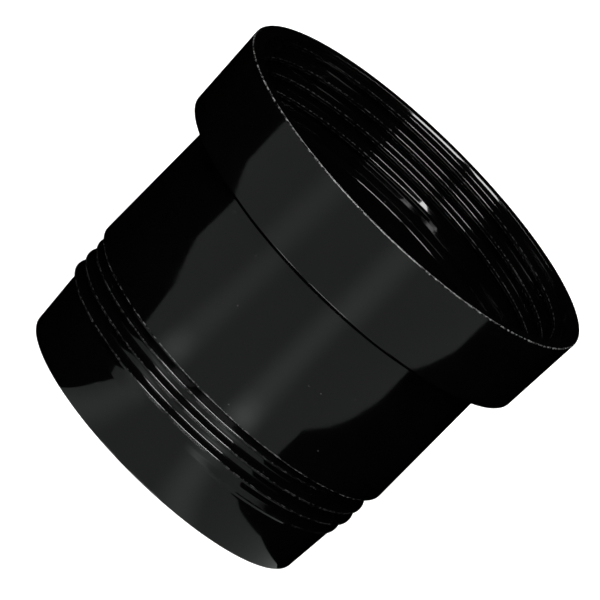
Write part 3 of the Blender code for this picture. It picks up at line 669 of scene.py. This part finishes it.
def cut_away(body, cutter_mesh):
    """The body less the cutter's volume, as a plain mesh in place."""
    cutter = place(cutter_mesh, "cutter")
    cut = body.modifiers.new("cut", "BOOLEAN")
    cut.operation = "DIFFERENCE"
    cut.solver = "EXACT"
    cut.object = cutter
    name = body.name
    mesh = plain_mesh(body, name + "_cut")
    bpy.data.objects.remove(cutter)
    return place(mesh, name)


RETAINER_INNER = RETAINER_MALE_ROOT - RETAINER_WIDTH
whole_ring = turned_piece("retaining_ring_body", [
    (RETAINER_INNER, RETAINER_LOW.z, FINE_EDGE),
    (RETAINER_MALE_ROOT - RETAINER_CHAMFER, RETAINER_LOW.z, FINE_EDGE),
    (RETAINER_MALE_ROOT, RETAINER_LOW.z + RETAINER_CHAMFER, 0),
    Thread(RETAINER_MALE_ROOT, RETAINER_LOW.z + RETAINER_CHAMFER, RETAINER_HIGH.z - RETAINER_CHAMFER, 1,
           phase=0.0, **RETAINER_THREAD),
    (RETAINER_MALE_ROOT, RETAINER_HIGH.z - RETAINER_CHAMFER, 0),
    (RETAINER_MALE_ROOT - RETAINER_CHAMFER, RETAINER_HIGH.z, FINE_EDGE),
    (RETAINER_INNER + RETAINER_CHAMFER, RETAINER_HIGH.z, FINE_EDGE),
    (RETAINER_INNER, RETAINER_HIGH.z - RETAINER_CHAMFER, FINE_EDGE),
], matt_surface("black_anodised_aluminium", (0.010, 0.010, 0.011, 1),
                rough=0.40, grain_size=0.05, depth=0.004 * MM, metal=0.6))
retainer = cut_away(whole_ring, box_mesh(
    (-2 * RETAINER_HIGH.x, -SLOT_WIDTH / 2, RETAINER_HIGH.z - SLOT_DEPTH),
    (2 * RETAINER_HIGH.x, SLOT_WIDTH / 2, RETAINER_HIGH.z + SLOT_DEPTH)))
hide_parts("retaining_ring")
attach(retainer, "retainer")

# ---- glare stop ---------------------------------------------------------------------------------
# A thin moulded ring of matt black plastic, bevelled to a sharp opening, dropped on the ledge in
# the barrel's bore to catch stray light.

STOP_OPENING = 12.20 * MM
STOP_LAND = 0.15 * MM
STOP_LIP_EDGE = 0.02 * MM
STOP_BEVEL_EDGE = 0.10 * MM
stop = turned_piece("glare_stop_ring", [
    (STOP_OPENING, STOP_LOW.z, STOP_LIP_EDGE),
    (STOP_HIGH.x, STOP_LOW.z, FINE_EDGE),
    (STOP_HIGH.x, STOP_HIGH.z, FINE_EDGE),
    (JOINT_FEMALE_CREST, STOP_HIGH.z, STOP_BEVEL_EDGE),
    (STOP_OPENING, STOP_LOW.z + STOP_LAND, STOP_LIP_EDGE),
], MATT_BLACK)
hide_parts("glare_stop")
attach(stop, "tube")

# ---- snap ring ----------------------------------------------------------------------------------
# A flat ring of blackened spring steel, cut through at the back, sprung into the barrel's groove
# over the glare stop.

SNAP_WIDTH = 0.70 * MM
SNAP_HALF_ANGLE = math.radians(15.0)  # half of what is cut out of the circle
SNAP_GAP = 2 * SNAP_HIGH.x * math.sin(SNAP_HALF_ANGLE)
whole_snap = turned_piece("snap_ring_spring", flat_ring(
    SNAP_HIGH.x - SNAP_WIDTH, SNAP_HIGH.x, SNAP_LOW.z, SNAP_HIGH.z, SOFT_EDGE),
    matt_surface("blackened_spring_steel", (0.016, 0.016, 0.018, 1),
                 rough=0.36, grain_size=0.06, depth=0.004 * MM, metal=1.0))
snap = cut_away(whole_snap, box_mesh(
    (-SNAP_GAP / 2, 0.5 * SNAP_HIGH.x, SNAP_LOW.z - 1.0 * MM),
    (SNAP_GAP / 2, 1.5 * SNAP_HIGH.x, SNAP_HIGH.z + 1.0 * MM)))
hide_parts("snap_ring")
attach(snap, "tube")

# ---- studio -------------------------------------------------------------------------------------
# A pale floor with a shaped glowing card on it that only reflections show, two softboxes in front
# and one behind, dim images of the front two in the table, a white backdrop and a long lens.

FLOOR_SIZE = 8.0
FLOOR_DROP = 0.02 * MM
FLOOR_GLOW = 0.93


def sheet_mesh(name, width, height):
    """A flat rectangle round its own middle."""
    x, y = width / 2, height / 2
    mesh = bpy.data.meshes.new(name)
    mesh.from_pydata([(-x, -y, 0), (x, -y, 0), (x, y, 0), (-x, y, 0)], [], [(0, 1, 2, 3)])
    return mesh


def show_in_reflections_only(made):
    """Leaves the object visible to glossy rays alone."""
    for rays in ("visible_camera", "visible_diffuse", "visible_shadow", "visible_transmission"):
        setattr(made, rays, False)


floor = place(sheet_mesh("floor", FLOOR_SIZE, FLOOR_SIZE), "floor")
floor.location.z = -FLOOR_DROP
pale, _, pale_shader = new_finish("pale_floor")
pale_shader.inputs["Base Color"].default_value = (0.55, 0.55, 0.55, 1)
pale_shader.inputs["Roughness"].default_value = 0.9
pale_shader.inputs["Emission Color"].default_value = (1, 1, 1, 1)
pale_shader.inputs["Emission Strength"].default_value = FLOOR_GLOW
floor.data.materials.append(pale)
floor.visible_glossy = False

CARD_LEVEL = 0.34
CARD_TINT = (0.92, 1.0, 0.96, 1)
CARD_DROP = 0.01 * MM
CARD_OUTLINE = ((15.6, -3.6), (18.3, -9.0), (17.5, -16.1), (19.0, -22.0), (40.6, -36.0), (62.5, -29.0),
                (92.0, -26.0), (300.0, -75.0), (300.0, -600.0), (-300.0, -600.0), (-300.0, -90.0),
                (-100.0, -33.0), (-82.8, -28.0), (-62.4, -30.6), (-49.3, -32.3), (-16.6, -21.8),
                (-13.6, -16.4), (-10.0, -12.0))  # in millimetres
LOBES = ((-29.0, 0.26), (19.0, 0.38))  # azimuth in degrees and strength of the card's bright strips
LOBE_HALF_WIDTH = math.radians(13.0)
STRIP_START, STRIP_PEAK, STRIP_FALL, STRIP_END = 36.0, 43.0, 54.0, 115.0  # mm from the axis
PEAK_GAIN = 1.5

card_mesh = bpy.data.meshes.new("reflector_card")
card_mesh.from_pydata([(x * MM, y * MM, 0) for x, y in CARD_OUTLINE], [], [tuple(range(len(CARD_OUTLINE)))])
card = place(card_mesh, "reflector_card")
card.location.z = -CARD_DROP
glow, glow_tree, glow_shader = new_finish("card_glow")
glow_tree.nodes.remove(glow_shader)
spot_on = add_node(glow_tree, "ShaderNodeSeparateXYZ", in_millimetres(glow_tree)).outputs
facing = result(glow_tree, "MULTIPLY", spot_on[1], -1.0)
azimuth = result(glow_tree, "ARCTAN2", spot_on[0], facing)
squared = [result(glow_tree, "POWER", side, 2.0) for side in (spot_on[0], facing)]
flat_reach = result(glow_tree, "SQRT", result(glow_tree, "ADD", *squared))
near = result(glow_tree, "ADD", ramp(glow_tree, flat_reach, STRIP_START, STRIP_END, 0.9, 0.7),
              result(glow_tree, "MULTIPLY", ramp(glow_tree, flat_reach, STRIP_START, STRIP_PEAK),
                     ramp(glow_tree, flat_reach, STRIP_PEAK, STRIP_FALL, PEAK_GAIN, 0.0)))
glow_level = CARD_LEVEL
for lobe_azimuth, lobe_level in LOBES:
    off = result(glow_tree, "ABSOLUTE", result(glow_tree, "SUBTRACT", azimuth, math.radians(lobe_azimuth)))
    lobe = add_node(glow_tree, "ShaderNodeMapRange", off, 0.0, LOBE_HALF_WIDTH, lobe_level, 0.0,
                    interpolation_type="SMOOTHSTEP").outputs[0]
    glow_level = result(glow_tree, "ADD", glow_level, result(glow_tree, "MULTIPLY", lobe, near))
shine = add_node(glow_tree, "ShaderNodeEmission", CARD_TINT, glow_level).outputs[0]
through = add_node(glow_tree, "ShaderNodeBsdfTransparent").outputs[0]
both = add_node(glow_tree, "ShaderNodeAddShader", shine, through).outputs[0]
glow_tree.links.new(both, glow_tree.nodes["Material Output"].inputs["Surface"])
card_mesh.materials.append(glow)
show_in_reflections_only(card)

LAMP_DISTANCE = 0.60
FRONT_ELEVATION = 38
BACK_ELEVATION = 50
FRONT_HEIGHT = 0.30
FRONT_LAMPS = (("left", -30, 0.20), ("right", 13, 0.36))  # name, azimuth in degrees and width
FRONT_RADIANCE = 16.0
BACK_RADIANCE = 7.0
IMAGE_SIZE = 0.6  # of a softbox's size
IMAGE_RADIANCE = 0.35  # of a softbox's radiance
IMAGE_DEPTH = math.radians(58)  # angle below the table


def softbox(name, azimuth, elevation, width, height, radiance):
    """An area light that faces the lens from this direction; azimuth 0 is the camera's side."""
    a, e = math.radians(azimuth), math.radians(elevation)
    back = Vector((math.sin(a) * math.cos(e), -math.cos(a) * math.cos(e), math.sin(e)))
    lamp = bpy.data.lights.new(name, "AREA")
    lamp.shape = "RECTANGLE"
    lamp.size = width
    lamp.size_y = height
    lamp.energy = radiance * math.pi * width * height
    made = bpy.data.objects.new(name, lamp)
    bpy.context.scene.collection.objects.link(made)
    made.location = back * LAMP_DISTANCE + Vector((0, 0, MOUTH_HEIGHT / 2))
    made.rotation_mode = "QUATERNION"
    made.rotation_quaternion = back.to_track_quat("Z", "Y")
    return made


def table_image(lamp, width, height, radiance):
    """What the glossy table shows of a softbox: a dimmer one below the floor."""
    mesh = sheet_mesh(lamp.name + "_image", width, height)
    made = place(mesh, mesh.name)
    aside = Vector((lamp.location.x, lamp.location.y, 0)).normalized()
    made.location = LAMP_DISTANCE * (math.cos(IMAGE_DEPTH) * aside
                                     - math.sin(IMAGE_DEPTH) * Vector((0, 0, 1)))
    made.rotation_mode = "QUATERNION"
    made.rotation_quaternion = (-made.location).to_track_quat("Z", "Y")
    shine, _, shader = new_finish(mesh.name + "_glow")
    shader.inputs["Base Color"].default_value = (0, 0, 0, 1)
    shader.inputs["Emission Color"].default_value = (1, 1, 1, 1)
    shader.inputs["Emission Strength"].default_value = radiance
    mesh.materials.append(shine)
    show_in_reflections_only(made)


for side, azimuth, width in FRONT_LAMPS:
    lamp = softbox(side + "_softbox", azimuth, FRONT_ELEVATION, width, FRONT_HEIGHT, FRONT_RADIANCE)
    table_image(lamp, IMAGE_SIZE * width, IMAGE_SIZE * FRONT_HEIGHT, IMAGE_RADIANCE * FRONT_RADIANCE)
softbox("back_softbox", 180, BACK_ELEVATION, 0.30, 0.20, BACK_RADIANCE)

ELEVATION = math.radians(14.77)  # of the camera above the table
AXIS_TILT = math.radians(45.25)  # of the optical axis above the view's lower edge
LENS_LENGTH = 1350.0
CAMERA_DISTANCE = 1.96
AIM = Vector((-0.285, 0.07, 17.66)) * MM

back = Vector((0, -math.cos(ELEVATION), math.sin(ELEVATION)))
across = Vector((1, 0, 0))
upright = back.cross(across)
view_right = math.sin(AXIS_TILT) * across + math.cos(AXIS_TILT) * upright
view_up = -math.cos(AXIS_TILT) * across + math.sin(AXIS_TILT) * upright
camera_data = bpy.data.cameras.new("camera")
camera_data.lens = LENS_LENGTH
camera_data.sensor_width = 36.0
camera_data.clip_start = 0.1
camera_data.clip_end = 20.0
camera = bpy.data.objects.new("camera", camera_data)
bpy.context.scene.collection.objects.link(camera)
turn = Matrix((view_right, view_up, back)).transposed().to_4x4()
camera.matrix_world = Matrix.Translation(AIM + back * CAMERA_DISTANCE) @ turn
bpy.context.scene.camera = camera

world = bpy.data.worlds.new("studio")
world.use_nodes = True
bpy.context.scene.world = world
sky = world.node_tree
backdrop = sky.nodes["Background"]
backdrop.inputs["Color"].default_value = (1, 1, 1, 1)
seen = sky.nodes.new("ShaderNodeLightPath").outputs["Is Camera Ray"]
sky.links.new(seen, backdrop.inputs["Strength"])
bpy.context.scene.view_settings.view_transform = "Standard"
